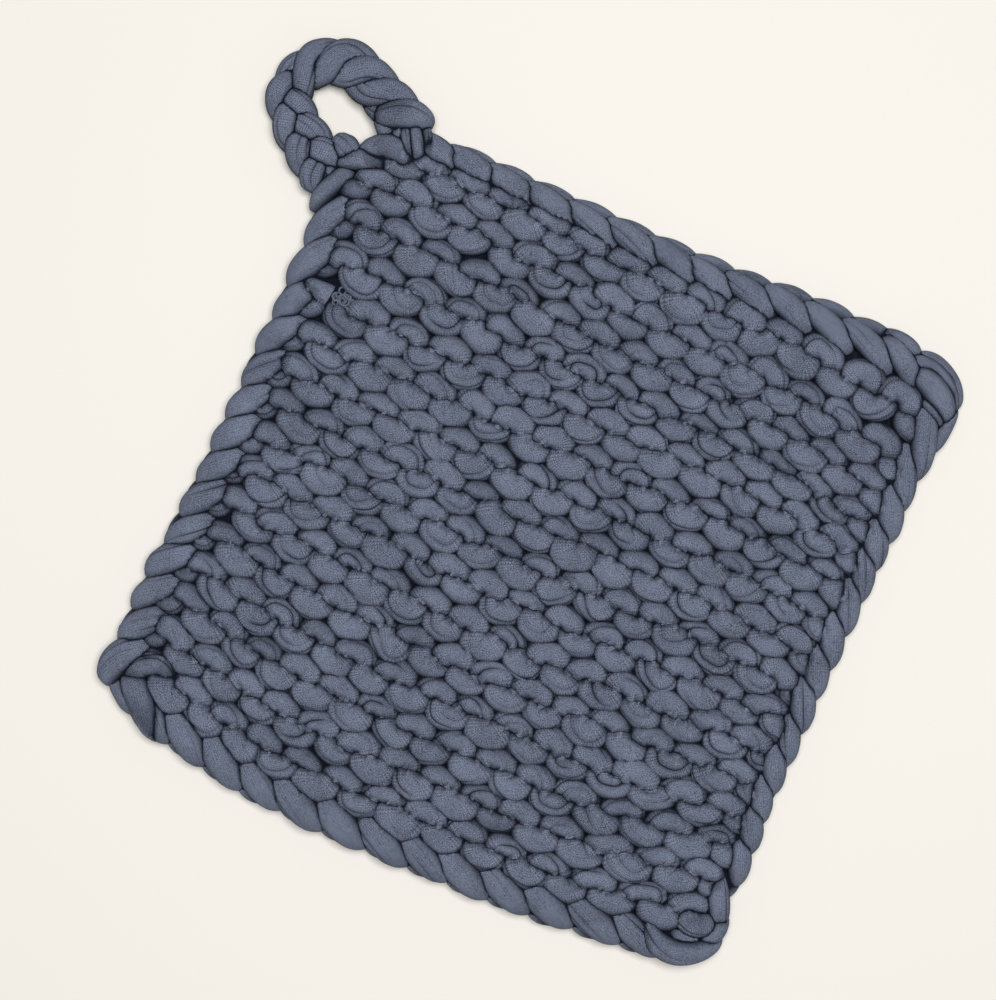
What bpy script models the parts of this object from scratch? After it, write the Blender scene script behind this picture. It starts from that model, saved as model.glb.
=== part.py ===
"""Pot holder: a square pad knitted in garter stitch from thick jersey yarn, with a loop at one corner.

Metres, +Z up. The pad lies flat, and the origin is the centre of its underside. The top edge of the
knitting is at +Y, and the hanging loop is at the corner towards -X and +Y.
"""
import math

import bmesh
import bpy
import numpy as np

MM = 0.001

# ---- the knitting ----
STITCHES = 14  # loops across one ridge
RIDGES = 16  # garter ridges from the top edge to the bottom edge
STITCH_WIDTH = 14.25 * MM
RIDGE_HEIGHT = 12.9 * MM

# Where the fabric lies, in millimetres. Each row is one line across the knitting, at its place counted in
# ridges from the top edge. Its x and y are read at LINE_COLUMNS, counted in stitches from the left. The
# first and last rows and columns are the outline, with its corners still sharp.
LINE_COLUMNS = (-0.6, 0.5, 3.5, 7.5, 11.5, 13.5, 14.7)
FABRIC_LINES = (
    {
        "ridge": -0.70,
        "x": (-108.0, -92.8, -50.0, 8.9, 64.3, 94.0, 111.8),
        "y": (110.0, 111.0, 112.3, 111.8, 114.0, 114.0, 113.0),
    },
    {
        "ridge": 0.25,
        "x": (-107.8, -92.3, -49.7, 8.9, 64.3, 93.8, 111.8),
        "y": (102.0, 102.9, 102.0, 98.8, 97.9, 95.1, 93.5),
    },
    {
        "ridge": 5.25,
        "x": (-107.6, -90.9, -47.6, 8.9, 65.1, 93.4, 110.0),
        "y": (37.5, 36.9, 36.9, 36.1, 35.2, 32.4, 31.0),
    },
    {
        "ridge": 10.25,
        "x": (-109.4, -91.9, -48.9, 7.3, 63.0, 93.0, 109.0),
        "y": (-21.0, -23.0, -26.2, -29.1, -28.3, -27.9, -27.5),
    },
    {
        "ridge": 15.25,
        "x": (-112.8, -94.8, -53.0, 4.8, 63.9, 95.4, 109.2),
        "y": (-79.0, -83.2, -91.4, -92.6, -90.6, -85.2, -82.0),
    },
    {
        "ridge": 16.85,
        "x": (-112.0, -96.0, -54.0, 6.0, 64.0, 95.0, 109.5),
        "y": (-99.5, -103.5, -111.6, -112.6, -110.0, -106.5, -104.0),
    },
)
TOP_EDGE, BOTTOM_EDGE = FABRIC_LINES[0]["ridge"], FABRIC_LINES[-1]["ridge"]
LEFT_EDGE, RIGHT_EDGE = LINE_COLUMNS[0], LINE_COLUMNS[-1]
CORNERS = (
    {"side_x": -1, "side_y": 1, "radius": 28.0 * MM},
    {"side_x": 1, "side_y": 1, "radius": 15.0 * MM},
    {"side_x": 1, "side_y": -1, "radius": 14.0 * MM},
    {"side_x": -1, "side_y": -1, "radius": 12.0 * MM},
)
CORNER_FADE = 1.5  # how fast a rounded corner's pull dies out across the fabric

# ---- heights of the upper face above the table ----
CREST = 13.5 * MM  # top of a stitch
NOTCH = 9.6 * MM  # between two stitches of one row
SEAM = 10.6 * MM  # between the two rows of a ridge
VALLEY = 7.2 * MM  # between two ridges
DOME = 0.12  # how far a stitch's round side reaches into the valley, in ridges
SHOULDER = 0.08  # how far a stitch's shoulders move out from its middle, in stitches
ROUNDNESS = 0.4  # a stitch is rounder towards 1, and fuller towards 0
STEPS = 4  # grid steps in a stitch and in a ridge

# ---- the chain edge, from the knitting to the outline: where each ring lies and how high ----
EDGE_RINGS = (
    {"ring": "crest", "share": 0.52, "height": 12.4 * MM, "groove": 2.4 * MM, "inset": 0.00},
    {"ring": "shoulder", "share": 0.86, "height": 9.8 * MM, "groove": 1.6 * MM, "inset": 0.10},
    {"ring": "side", "share": 1.00, "height": 6.4 * MM, "groove": 0.0, "inset": 0.16},
)
LOWER_SHARE = 0.88
LOWER_HEIGHT = 3.4 * MM

# ---- the underside: flat ribs, half a ridge off those of the upper face ----
RIB_GROOVE = 2.8 * MM  # depth of the groove between two ribs
RIB_GROOVE_HALF = 0.17  # half its width, in ridges
FOOT_SHARE = 0.55  # where the flat ends in the chain edge

# ---- the hanging loop ----
# The cord's middle line and width in millimetres, from the top edge round to the left edge.
LOOP_ROUTE = (
    {"x": -86.0, "y": 108.0, "width": 13.0},
    {"x": -92.6, "y": 113.6, "width": 15.0},
    {"x": -99.0, "y": 116.6, "width": 15.2},
    {"x": -106.2, "y": 119.7, "width": 15.2},
    {"x": -113.6, "y": 122.6, "width": 15.6},
    {"x": -120.4, "y": 121.8, "width": 15.2},
    {"x": -126.0, "y": 118.0, "width": 14.4},
    {"x": -129.6, "y": 112.4, "width": 14.0},
    {"x": -130.2, "y": 106.4, "width": 14.6},
    {"x": -127.2, "y": 101.2, "width": 15.2},
    {"x": -122.6, "y": 96.8, "width": 16.2},
    {"x": -117.2, "y": 92.6, "width": 17.0},
    {"x": -111.6, "y": 88.6, "width": 16.6},
    {"x": -106.5, "y": 83.0, "width": 14.5},
)
CORD_THICKNESS = 12.4 * MM
CORD_LIFT = 5.9 * MM  # the cord's middle above the table; its underside is pressed flat
CORD_STEPS = 46
STRANDS = 3
STRAND_LAY = 38.0 * MM  # length of cord for one full turn of a strand
# A strand's outline: points from one furrow to the next, as angle shares and radius shares.
STRAND_POINTS = (
    {"share": 0.00, "radius": 0.66},
    {"share": 0.16, "radius": 0.88},
    {"share": 0.38, "radius": 1.00},
    {"share": 0.62, "radius": 1.00},
    {"share": 0.84, "radius": 0.88},
)
SEAT_GAP = 0.3 * MM  # between the loop and the pad's edge

YARN_COLOUR = (0.105, 0.135, 0.205, 1.0)
YARN_ROUGHNESS = 0.92


def smooth_through(nodes, values, at):
    """The cubic curve through the values, each slope taken from its neighbours, straight past the ends."""
    at = np.ravel(at)
    nodes = np.asarray(nodes, float)
    values = np.asarray(values, float).reshape(len(nodes), -1)
    values = np.broadcast_to(values, (len(nodes), at.size))
    slopes = np.gradient(values, nodes, axis=0)
    inside = np.clip(at, nodes[0], nodes[-1])
    low = np.clip(np.searchsorted(nodes, inside, side="right") - 1, 0, len(nodes) - 2)
    step = nodes[low + 1] - nodes[low]
    t = (inside - nodes[low]) / step
    each = np.arange(at.size)
    start, end = values[low, each], values[low + 1, each]
    rise_start, rise_end = slopes[low, each] * step, slopes[low + 1, each] * step
    square = 3 * (end - start) - 2 * rise_start - rise_end
    cube = 2 * (start - end) + rise_start + rise_end
    curve = start + t * (rise_start + t * (square + t * cube))
    return curve + np.where(at < nodes[0], slopes[0], slopes[-1]) * (at - inside)


def corner_arc(distance, radius):
    """How far a rounded corner lies inside its sharp edge, at a distance from the corner's middle."""
    along = np.minimum((1 - math.sqrt(0.5)) * radius + math.sqrt(0.5) * distance, radius)
    return radius - np.sqrt(radius**2 - (radius - along) ** 2)


def lie_of(axis, column, ridge):
    """One coordinate of the fabric's points, before its corners are rounded."""
    lines = [smooth_through(LINE_COLUMNS, line[axis], column) for line in FABRIC_LINES]
    return MM * smooth_through([line["ridge"] for line in FABRIC_LINES], lines, ridge)


def place(column, ridge):
    """x and y of the fabric's points, from their places counted in stitches and ridges."""
    column, ridge = np.broadcast_arrays(column, ridge)
    shape = column.shape
    column, ridge = column.ravel(), ridge.ravel()
    x, y = lie_of("x", column, ridge), lie_of("y", column, ridge)
    for corner in CORNERS:
        radius = corner["radius"]
        side = RIGHT_EDGE if corner["side_x"] > 0 else LEFT_EDGE
        end = TOP_EDGE if corner["side_y"] > 0 else BOTTOM_EDGE
        across = np.abs(side - column) * STITCH_WIDTH
        down = np.abs(end - ridge) * RIDGE_HEIGHT
        x = x - corner["side_x"] * corner_arc(down, radius) * np.exp(-CORNER_FADE * across / radius)
        y = y - corner["side_y"] * corner_arc(across, radius) * np.exp(-CORNER_FADE * down / radius)
    return x.reshape(shape), y.reshape(shape)


def with_edges(inner, low_edge, high_edge, shares):
    """The knitting's grid lines, with the chain edge's rings added before and after them."""
    low = [inner[0] + (low_edge - inner[0]) * share for share in shares]
    high = [inner[-1] + (high_edge - inner[-1]) * share for share in shares]
    return np.array(low[::-1] + list(inner) + high)


def upper_face():
    """Grid of points of the upper face, rows from the top edge to the bottom edge, out to the pad's side."""
    shares = [ring["share"] for ring in EDGE_RINGS]
    rings = len(EDGE_RINGS)
    columns = with_edges(np.arange(STITCHES * STEPS + 1) / STEPS, LEFT_EDGE, RIGHT_EDGE, shares)
    rows = with_edges(np.arange(RIDGES * STEPS + 1) / STEPS, TOP_EDGE, BOTTOM_EDGE, shares)
    ridge, column = np.meshgrid(rows, columns, indexing="ij")
    height = np.full(ridge.shape, VALLEY)
    knitting = (slice(rings, -rings), slice(rings, -rings))
    phase = 2 * math.pi * column[knitting]
    kind = np.arange(RIDGES * STEPS + 1)[:, None] % STEPS + 0 * phase
    # The upper row of a ridge has its stitches at half columns, and the lower row at whole columns.
    towards = np.select([kind == 1, kind == 3], [-1.0, 1.0], 0.0)
    swell = (0.5 + 0.5 * towards * np.cos(phase)) ** ROUNDNESS
    height[knitting] = np.select(
        [kind == 0, kind == 2], [VALLEY, SEAM], NOTCH + (CREST - NOTCH) * swell
    )
    column[knitting] += towards * SHOULDER * np.sin(phase)
    ridge[knitting] += np.where(kind == 0, DOME * np.cos(phase), 0.0)
    edge_the_face(column, ridge, height)
    x, y = place(column, ridge)
    return np.stack([x, y, height], axis=-1)


def edge_the_face(column, ridge, height):
    """Sets the heights of the chain edge's rings, and cuts a slanting groove for each stitch or ridge."""
    rings = len(EDGE_RINGS)
    middle_column = (LEFT_EDGE + RIGHT_EDGE) / 2
    middle_ridge = (TOP_EDGE + BOTTOM_EDGE) / 2
    for level, ring in enumerate(EDGE_RINGS, start=1):
        near, far = rings - level, level - rings - 1
        span = slice(near, far + 1 or None)
        # Each ring's grooves lie one step further along than the last ring's, so that they slant.
        across = np.arange(rings + level % STEPS, column.shape[1] - rings, STEPS)
        down = np.arange(rings + level % STEPS, column.shape[0] - rings, STEPS)
        for end in (near, far):
            height[end, span] = height[span, end] = ring["height"]
        for end in (near, far):
            height[end, across] -= ring["groove"]
            height[down, end] -= ring["groove"]
            ridge[end, across] += np.sign(middle_ridge - ridge[end, across]) * ring["inset"]
            column[down, end] += np.sign(middle_column - column[down, end]) * ring["inset"]


def underside():
    """Grid of points of the underside: flat ribs on the table with grooves between them."""
    columns = with_edges(np.arange(STITCHES + 1.0), LEFT_EDGE, RIGHT_EDGE, [FOOT_SHARE])
    grooves = np.arange(RIDGES)[:, None] + 0.5 + RIB_GROOVE_HALF * np.array([-1, 0, 1])
    depths = np.zeros(grooves.shape) + RIB_GROOVE * np.array([0, 1, 0])
    first = TOP_EDGE * FOOT_SHARE
    last = RIDGES + (BOTTOM_EDGE - RIDGES) * FOOT_SHARE
    ridge, column = np.meshgrid(np.concatenate([[first], grooves.ravel(), [last]]), columns, indexing="ij")
    depth = np.concatenate([[0.0], depths.ravel(), [0.0]])[:, None]
    x, y = place(column, ridge)
    return np.stack([x, y, depth + 0 * x], axis=-1)


def rim_of(grid):
    """The grid's outermost points, once round."""
    return np.concatenate([grid[0, :-1], grid[:-1, -1], grid[-1, :0:-1], grid[:0:-1, 0]])


def split_quad(mesh, corners, through_first):
    """Adds a quad as two triangles, split through its first corner or through its second."""
    a, b, c, d = corners
    if through_first:
        mesh.faces.new((a, b, c))
        mesh.faces.new((a, c, d))
    else:
        mesh.faces.new((a, b, d))
        mesh.faces.new((b, c, d))


def add_quad(mesh, corners):
    """Adds a quad of the knitting, split along its higher diagonal, so that a stitch's crown stays whole."""
    a, b, c, d = corners
    split_quad(mesh, corners, a.co.z + c.co.z > b.co.z + d.co.z)


def add_sheet(mesh, grid, face_up):
    """Adds a grid of faces to the mesh and returns the vertices of its rim, once round."""
    rows, columns = grid.shape[:2]
    made = [[mesh.verts.new(point) for point in row] for row in grid]
    for r in range(rows - 1):
        for c in range(columns - 1):
            quad = (made[r][c], made[r + 1][c], made[r + 1][c + 1], made[r][c + 1])
            add_quad(mesh, quad if face_up else quad[::-1])
    return (
        made[0][:-1]
        + [row[-1] for row in made[:-1]]
        + made[-1][:0:-1]
        + [row[0] for row in made[:0:-1]]
    )


def close_ring(mesh, upper, lower):
    """Bridges two rings of vertices."""
    edges = []
    for ring in (upper, lower):
        for start, end in zip(ring, ring[1:] + ring[:1]):
            edges.append(mesh.edges.get((start, end)) or mesh.edges.new((start, end)))
    bmesh.ops.bridge_loops(mesh, edges=edges)


def add_object(name, mesh, material):
    """Puts the mesh into a new object of the scene."""
    bmesh.ops.recalc_face_normals(mesh, faces=mesh.faces)
    data = bpy.data.meshes.new(name)
    mesh.to_mesh(data)
    mesh.free()
    data.materials.append(material)
    made = bpy.data.objects.new(name, data)
    bpy.context.scene.collection.objects.link(made)
    return made


def knitted_body(material):
    """The pad: stitches raised on the upper face, a chain edge all round, and flat ribs below."""
    mesh = bmesh.new()
    top = upper_face()
    top_rim = add_sheet(mesh, top, face_up=True)
    middle = top.mean(axis=(0, 1))
    lower = rim_of(top)
    inward = middle[:2] - lower[:, :2]
    inward /= np.linalg.norm(inward, axis=1, keepdims=True)
    lower[:, :2] += inward * (1 - LOWER_SHARE) * STITCH_WIDTH
    lower[:, 2] = LOWER_HEIGHT
    lower_rim = [mesh.verts.new(point) for point in lower]
    for i, low in enumerate(lower_rim):
        mesh.faces.new((top_rim[i - 1], top_rim[i], low, lower_rim[i - 1]))
    bottom_rim = add_sheet(mesh, underside(), face_up=False)
    close_ring(mesh, lower_rim, bottom_rim)
    return add_object("knitted_body", mesh, material)


def cord_surface():
    """Rings of points round the cord, its strands laid round each other and its underside pressed flat."""
    route = np.array([(row["x"], row["y"], row["width"]) for row in LOOP_ROUTE]) * MM
    travelled = np.concatenate([[0], np.cumsum(np.linalg.norm(np.diff(route[:, :2], axis=0), axis=1))])
    at = np.linspace(0, travelled[-1], CORD_STEPS + 1)
    x, y, width = (smooth_through(travelled, route[:, i], at) for i in range(3))
    along = np.stack([np.gradient(x), np.gradient(y)], axis=1)
    along /= np.linalg.norm(along, axis=1, keepdims=True)
    turn = -2 * math.pi * at / STRAND_LAY
    shares = [(strand + row["share"]) / STRANDS for strand in range(STRANDS) for row in STRAND_POINTS]
    radii = np.array([row["radius"] for row in STRAND_POINTS] * STRANDS)
    angle = 2 * math.pi * np.array(shares) + turn[:, None]
    sideways = 0.5 * width[:, None] * radii * np.cos(angle)
    upwards = 0.5 * CORD_THICKNESS * radii * np.sin(angle)
    return np.stack(
        [
            x[:, None] - along[:, 1:] * sideways,
            y[:, None] + along[:, :1] * sideways,
            np.maximum(CORD_LIFT + upwards, 0),
        ],
        axis=-1,
    )


def hanging_loop(material):
    """The cord loop, cut back to a small gap from the pad's edge at both ends."""
    mesh = bmesh.new()
    rings = [[mesh.verts.new(point) for point in ring] for ring in cord_surface()]
    for ring, following in zip(rings, rings[1:]):
        for i in range(len(ring)):
            a, b, c, d = ring[i - 1], ring[i], following[i], following[i - 1]
            split_quad(mesh, (a, b, c, d), (a.co - c.co).length < (b.co - d.co).length)
    mesh.faces.new(rings[0])
    mesh.faces.new(rings[-1][::-1])
    loop = add_object("hanging_loop", mesh, material)
    cut = loop.modifiers.new("seat", "BOOLEAN")
    cut.operation = "DIFFERENCE"
    cut.object = pad_envelope()
    return loop


def plain_outline():
    """The pad's outline without the grooves of its chain edge, once round."""
    columns = np.linspace(LEFT_EDGE, RIGHT_EDGE, STITCHES * STEPS + 1)
    rows = np.linspace(TOP_EDGE, BOTTOM_EDGE, RIDGES * STEPS + 1)
    ridge, column = np.meshgrid(rows, columns, indexing="ij")
    return rim_of(np.stack(place(column, ridge), axis=-1))


def pad_envelope():
    """A prism round the pad's outline, a small gap outside it, that the loop is seated against."""
    outline = plain_outline()
    along = np.roll(outline, -1, axis=0) - np.roll(outline, 1, axis=0)
    out = np.stack([along[:, 1], -along[:, 0]], axis=1)
    out /= np.linalg.norm(out, axis=1, keepdims=True)
    out *= np.sign(np.sum(out * (outline - outline.mean(axis=0)), axis=1, keepdims=True))
    ring = outline + out * SEAT_GAP
    mesh = bmesh.new()
    face = mesh.faces.new([mesh.verts.new((x, y, -CREST)) for x, y in ring])
    raised = bmesh.ops.extrude_face_region(mesh, geom=[face])
    top = [item for item in raised["geom"] if isinstance(item, bmesh.types.BMVert)]
    bmesh.ops.translate(mesh, verts=top, vec=(0, 0, 3 * CREST))
    cutter = add_object("pad_envelope", mesh, None)
    cutter.hide_render = True
    cutter.display_type = "WIRE"
    return cutter


def yarn_material(name):
    """Matt slate-blue jersey."""
    material = bpy.data.materials.new(name)
    material.use_nodes = True
    shader = material.node_tree.nodes["Principled BSDF"]
    shader.inputs["Base Color"].default_value = YARN_COLOUR
    shader.inputs["Roughness"].default_value = YARN_ROUGHNESS
    shader.inputs["Metallic"].default_value = 0.0
    return material


def main():
    for old in list(bpy.data.objects):
        bpy.data.objects.remove(old)
    knitted_body(yarn_material("pad_yarn"))
    hanging_loop(yarn_material("loop_yarn"))


main()
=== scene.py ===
"""A hand-knitted pot holder: thick jersey yarn in garter stitch, chain edges and a plaited hanging loop.

The pad lies flat on a pale table and is seen from straight above, turned as it was laid down. Every strand
of yarn is a swept tube, so the stitches are real loops that pass from the upper face to the underside.
"""
import math

import bpy
import numpy as np
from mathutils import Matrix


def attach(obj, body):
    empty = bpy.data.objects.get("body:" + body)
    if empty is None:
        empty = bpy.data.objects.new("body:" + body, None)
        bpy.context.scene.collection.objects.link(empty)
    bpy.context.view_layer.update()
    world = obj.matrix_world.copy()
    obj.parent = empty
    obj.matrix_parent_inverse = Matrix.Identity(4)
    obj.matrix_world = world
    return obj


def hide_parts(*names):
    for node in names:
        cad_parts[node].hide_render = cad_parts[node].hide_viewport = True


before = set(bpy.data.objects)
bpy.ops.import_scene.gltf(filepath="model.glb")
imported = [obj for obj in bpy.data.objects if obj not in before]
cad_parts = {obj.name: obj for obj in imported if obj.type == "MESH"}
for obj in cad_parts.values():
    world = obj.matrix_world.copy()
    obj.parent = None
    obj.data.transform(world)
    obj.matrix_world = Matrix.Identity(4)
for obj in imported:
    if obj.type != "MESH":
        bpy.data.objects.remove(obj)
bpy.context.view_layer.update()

MM = 0.001
SEED = 41
UP = (0.0, 0.0, 1.0)
LEFT, RIGHT, UPWARDS, DOWNWARDS = (-1, 0), (1, 0), (0, 1), (0, -1)  # directions on the table

# ---- the knitting: how many stitches, and where the fabric lies ----
STITCHES = 14  # loops across one ridge
RIDGES = 16  # garter ridges from the top edge to the bottom edge
BANDS = 4  # the ridges are made as this many objects
STITCH_WIDTH = 14.25 * MM
RIDGE_HEIGHT = 12.9 * MM

# Where the fabric's points lie, in millimetres. Each row of FABRIC_X and FABRIC_Y is one line across the
# knitting, at its place in LINE_RIDGES, counted in ridges from the top edge. Its x and y are read at
# LINE_COLUMNS, counted in stitches from the left edge.
LINE_COLUMNS = (-0.6, 0.5, 3.5, 7.5, 11.5, 13.5, 14.7)
LINE_RIDGES = (-0.70, 0.25, 5.25, 10.25, 15.25, 16.85)
FABRIC_X = (
    (-108.0, -92.8, -50.0, 8.9, 64.3, 94.0, 111.8),
    (-107.8, -92.3, -49.7, 8.9, 64.3, 93.8, 111.8),
    (-107.6, -90.9, -47.6, 8.9, 65.1, 93.4, 110.0),
    (-109.4, -91.9, -48.9, 7.3, 63.0, 93.0, 109.0),
    (-112.8, -94.8, -53.0, 4.8, 63.9, 95.4, 109.2),
    (-112.0, -96.0, -54.0, 6.0, 64.0, 95.0, 109.5),
)
FABRIC_Y = (
    (110.0, 111.0, 112.3, 111.8, 114.0, 114.0, 113.0),
    (102.0, 102.9, 102.0, 98.8, 97.9, 95.1, 93.5),
    (37.5, 36.9, 36.9, 36.1, 35.2, 32.4, 31.0),
    (-21.0, -23.0, -26.2, -29.1, -28.3, -27.9, -27.5),
    (-79.0, -83.2, -91.4, -92.6, -90.6, -85.2, -82.0),
    (-99.5, -103.5, -111.6, -112.6, -110.0, -106.5, -104.0),
)
TOP_EDGE, BOTTOM_EDGE = LINE_RIDGES[0], LINE_RIDGES[-1]
LEFT_EDGE, RIGHT_EDGE = LINE_COLUMNS[0], LINE_COLUMNS[-1]
CORNERS = (
    {"side_x": -1, "side_y": 1, "radius": 28.0 * MM},
    {"side_x": 1, "side_y": 1, "radius": 15.0 * MM},
    {"side_x": 1, "side_y": -1, "radius": 14.0 * MM},
    {"side_x": -1, "side_y": -1, "radius": 12.0 * MM},
)
CORNER_FADE = 1.5  # how fast a rounded corner's pull dies out across the fabric

# ---- the yarn ----
PAD_TOP = 13.5 * MM  # crown of a stitch above the table
YARN_THICK = 4.0 * MM  # half the yarn's thickness where it lies on a face
HEAD_WIDE, SINKER_WIDE = 4.2 * MM, 4.9 * MM  # half its width there
HEAD_SINKS = 0.3 * MM  # how much lower a head lies than a sinker
HEAD_TILT = 0.20  # how far a head's outer side faces up the fabric, as a slope
HEAD_LINE, SINKER_LINE = 0.205, 0.762  # where a face's heads and sinkers lie below its ridge's top, in ridges
HEAD_SWING, SINKER_SWING = 0.140, 0.122  # how far the yarn swings sideways in a stitch, in stitches
LINE_LIMITS = (-0.12, RIDGES + 0.05)  # in ridges, the lines that no head or sinker passes
END_STITCH = (0.74, 0.88)  # size of a row's first and last sinkers, as shares
ROW_END = 0.28  # how far a row runs on past them, in half stitches
ROW_TIP = 0.2  # length of its rounded tip, in half stitches
TIP_LEAST = 0.05  # size of a strand's very tip, as a share
TAIL_RIDGE = 4  # a stitch of this ridge lies deeper, under the cut end of the yarn
TAIL_SINKS = 3.2 * MM
ROLL, ROLL_MOST = math.radians(20), 1.0  # how far round the yarn its main crease lies, in radians
CREASED, CREASED_MOST = 0.50, 1.2  # how deep that crease is, as a share of CREASE_DEPTH
FOLDED, FOLDED_MOST = 0.25, 1.1  # and the fold beside it, of FOLD_DEPTH
# How far chance moves each head and sinker, as a standard deviation.
STITCH_CHANCE = {
    "line": 0.020,  # down the fabric, in ridges
    "shift": 0.030,  # across it, in stitches
    "swing": 0.010,  # in stitches
    "level": 0.10 * MM,
    "size": 0.060,
    "lean": 0.045,  # how much lower one side of it lies than the other, in ridges
    "roll": math.radians(14),
    "slant": 0.22,  # how far it rolls from one side to the other, in radians
    "fading": 0.8,  # how fast its crease fades to one side, and its fold to the other
    "crease": 0.55,
    "fold": 0.55,
}
FULLNESS = 2.5  # exponent of its oval outline: 2 is an ellipse, more is boxier
YARN_ROUND = 22.0 * MM  # its circumference, the unit of the yarn's own UV map
UV_APART = 7.3 * MM  # how far apart two groups of strands start on the jersey, for each point between them
STATIONS = 16  # cross-sections along half a stitch
GATHERED = 0.35  # how much closer together they lie where the yarn bends
REST_SOFTLY = 0.8 * MM  # below this height the yarn flattens against the table

# The yarn's way from a sinker to the next head, as shares of the way: it lies along one face, dives in beside
# its neighbours, where it is drawn thin, runs up inside the fabric, and comes out on the other face.
HALF_STITCH = {
    "step": (0.00, 0.15, 0.28, 0.38, 0.50, 0.62, 0.72, 0.85, 1.00),
    "climb": (0.00, 0.04, 0.18, 0.34, 0.50, 0.66, 0.82, 0.96, 1.00),
    "through": (0.00, 0.00, 0.05, 0.40, 0.50, 0.60, 0.95, 1.00, 1.00),
    "size": (1.00, 1.03, 1.04, 0.87, 0.68, 0.87, 1.04, 1.03, 1.00),
}

# The yarn is a rolled strip. Points of half its outline in radians from the main crease, and how deep each
# one lies in that crease and in the fainter fold beside it. The other half is the same, with its own fold.
OUTLINE_HALF = {
    "angle": (0.00, 0.10, 0.32, 0.54, 0.62, 0.70, 1.00, 1.40, 1.82, 2.26, 2.70, math.pi),
    "crease": (1.00, 0.20, -0.06, 0.00, 0.00, 0.00, 0.00, 0.00, 0.00, 0.00, 0.00, 0.00),
    "fold": (0.00, 0.00, 0.00, 0.15, 1.00, 0.15, 0.00, 0.00, 0.00, 0.00, 0.00, 0.00),
}
HALF = {key: np.array(values) for key, values in OUTLINE_HALF.items()}
ANGLES = np.concatenate([HALF["angle"], 2 * math.pi - HALF["angle"][-2:0:-1]])
CREASE = np.concatenate([HALF["crease"], HALF["crease"][-2:0:-1]])
FOLD = np.concatenate([HALF["fold"], -HALF["fold"][-2:0:-1]])  # the other half's fold has the minus sign
CREASE_DEPTH = 0.22  # of the yarn's half-size
FOLD_DEPTH = 0.15
PAINTED_CREASE_SHADE = 0.95  # how dark the painted shade in the deepest crease is, as a share
AROUND = np.append(ANGLES, 2 * math.pi)
ROUND_THE_YARN = np.concatenate([[0], np.cumsum(np.hypot(np.diff(np.cos(AROUND)), np.diff(np.sin(AROUND))))])
ROUND_THE_YARN /= ROUND_THE_YARN[-1]
LIGHT_FAILS, LIGHT_GONE = 0.3 * MM, 2.6 * MM  # depths below a face at which the yarn's painted shade starts and is full
SIDE_DEPTH = 0.7  # at the edges and loop, depth of a strand's side for painted shade, as a share of its thickness
CELL = 0.5 * MM  # grid on which the strands' heights are compared
GRID = 660  # its cells each way
FINER = {"along": 3, "round": 5}  # how many times closer than a strand's own points those for it lie
ROW_OWNERS = 1000  # numbers kept for the stitches of one strand
FAR = 5.0 * MM  # a strand whose neighbour lies deeper than this has it out of sight
SEAM = 0.62 * MM  # difference in height beside a seam up to which painted shade makes the yarn dark
VALLEY = 2.4 * MM  # and up to which it has a little painted shade
LOOSER = 1.4  # how much narrower both painted shades are at the edges and in the loop, where the yarn isn't squeezed

# ---- the edge strands, one for each stitch or ridge ----
# Each row of a table is a point of the strand. Column and ridge are counted from the stitch or ridge that the
# strand belongs to. Height, wide and thick are in millimetres: its middle above the table and its half-sizes.
# Lean is the way that its flat faces, in degrees from straight up towards the pad's outside.
EDGE_COLUMNS = ("column", "ridge", "height", "wide", "thick", "lean")
LEFT_WRAP = (
    (0.20, -0.12, 4.8, 2.6, 2.2, 0),
    (0.10, 0.12, 8.8, 4.0, 3.2, 0),
    (-0.06, 0.42, 10.0, 4.7, 3.6, 6),
    (-0.22, 0.74, 9.9, 4.8, 3.7, 18),
    (-0.34, 1.08, 8.8, 4.2, 3.6, 38),
    (-0.42, 1.46, 6.2, 3.0, 2.8, 65),
)
RIGHT_STRAND = (
    (-0.02, -0.06, 5.0, 2.6, 2.2, 0),
    (0.06, 0.24, 8.6, 3.5, 3.0, 0),
    (0.22, 0.60, 9.9, 4.2, 3.6, 8),
    (0.36, 0.96, 9.7, 4.3, 3.6, 20),
    (0.46, 1.34, 8.2, 3.6, 3.3, 42),
    (0.50, 1.74, 5.4, 2.4, 2.4, 70),
)
TOP_LEAF = (
    (-0.92, -0.40, 5.8, 2.0, 2.0, 0),
    (-0.66, -0.38, 9.0, 3.3, 3.0, 8),
    (-0.30, -0.30, 10.0, 4.1, 3.7, 10),
    (0.06, -0.19, 10.0, 4.2, 3.7, 8),
    (0.38, -0.07, 8.8, 3.5, 3.2, 0),
    (0.60, 0.06, 5.2, 2.2, 2.2, 0),
)
TOP_HUMP = (
    (-0.84, -0.36, 3.8, 1.6, 1.8, 90),
    (-0.60, -0.48, 5.6, 2.8, 2.6, 80),
    (-0.20, -0.54, 6.6, 3.2, 2.8, 70),
    (0.20, -0.50, 5.6, 2.9, 2.7, 80),
    (0.46, -0.38, 3.8, 1.6, 1.8, 90),
)
BOTTOM_LEAF = (
    (-1.02, -0.06, 5.0, 2.4, 2.2, 0),
    (-0.74, 0.08, 8.8, 3.9, 3.2, 2),
    (-0.38, 0.27, 9.9, 4.8, 3.8, 8),
    (-0.02, 0.45, 9.6, 4.8, 3.9, 18),
    (0.28, 0.60, 7.8, 3.9, 3.4, 42),
    (0.50, 0.70, 5.0, 2.4, 2.4, 75),
)
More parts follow.
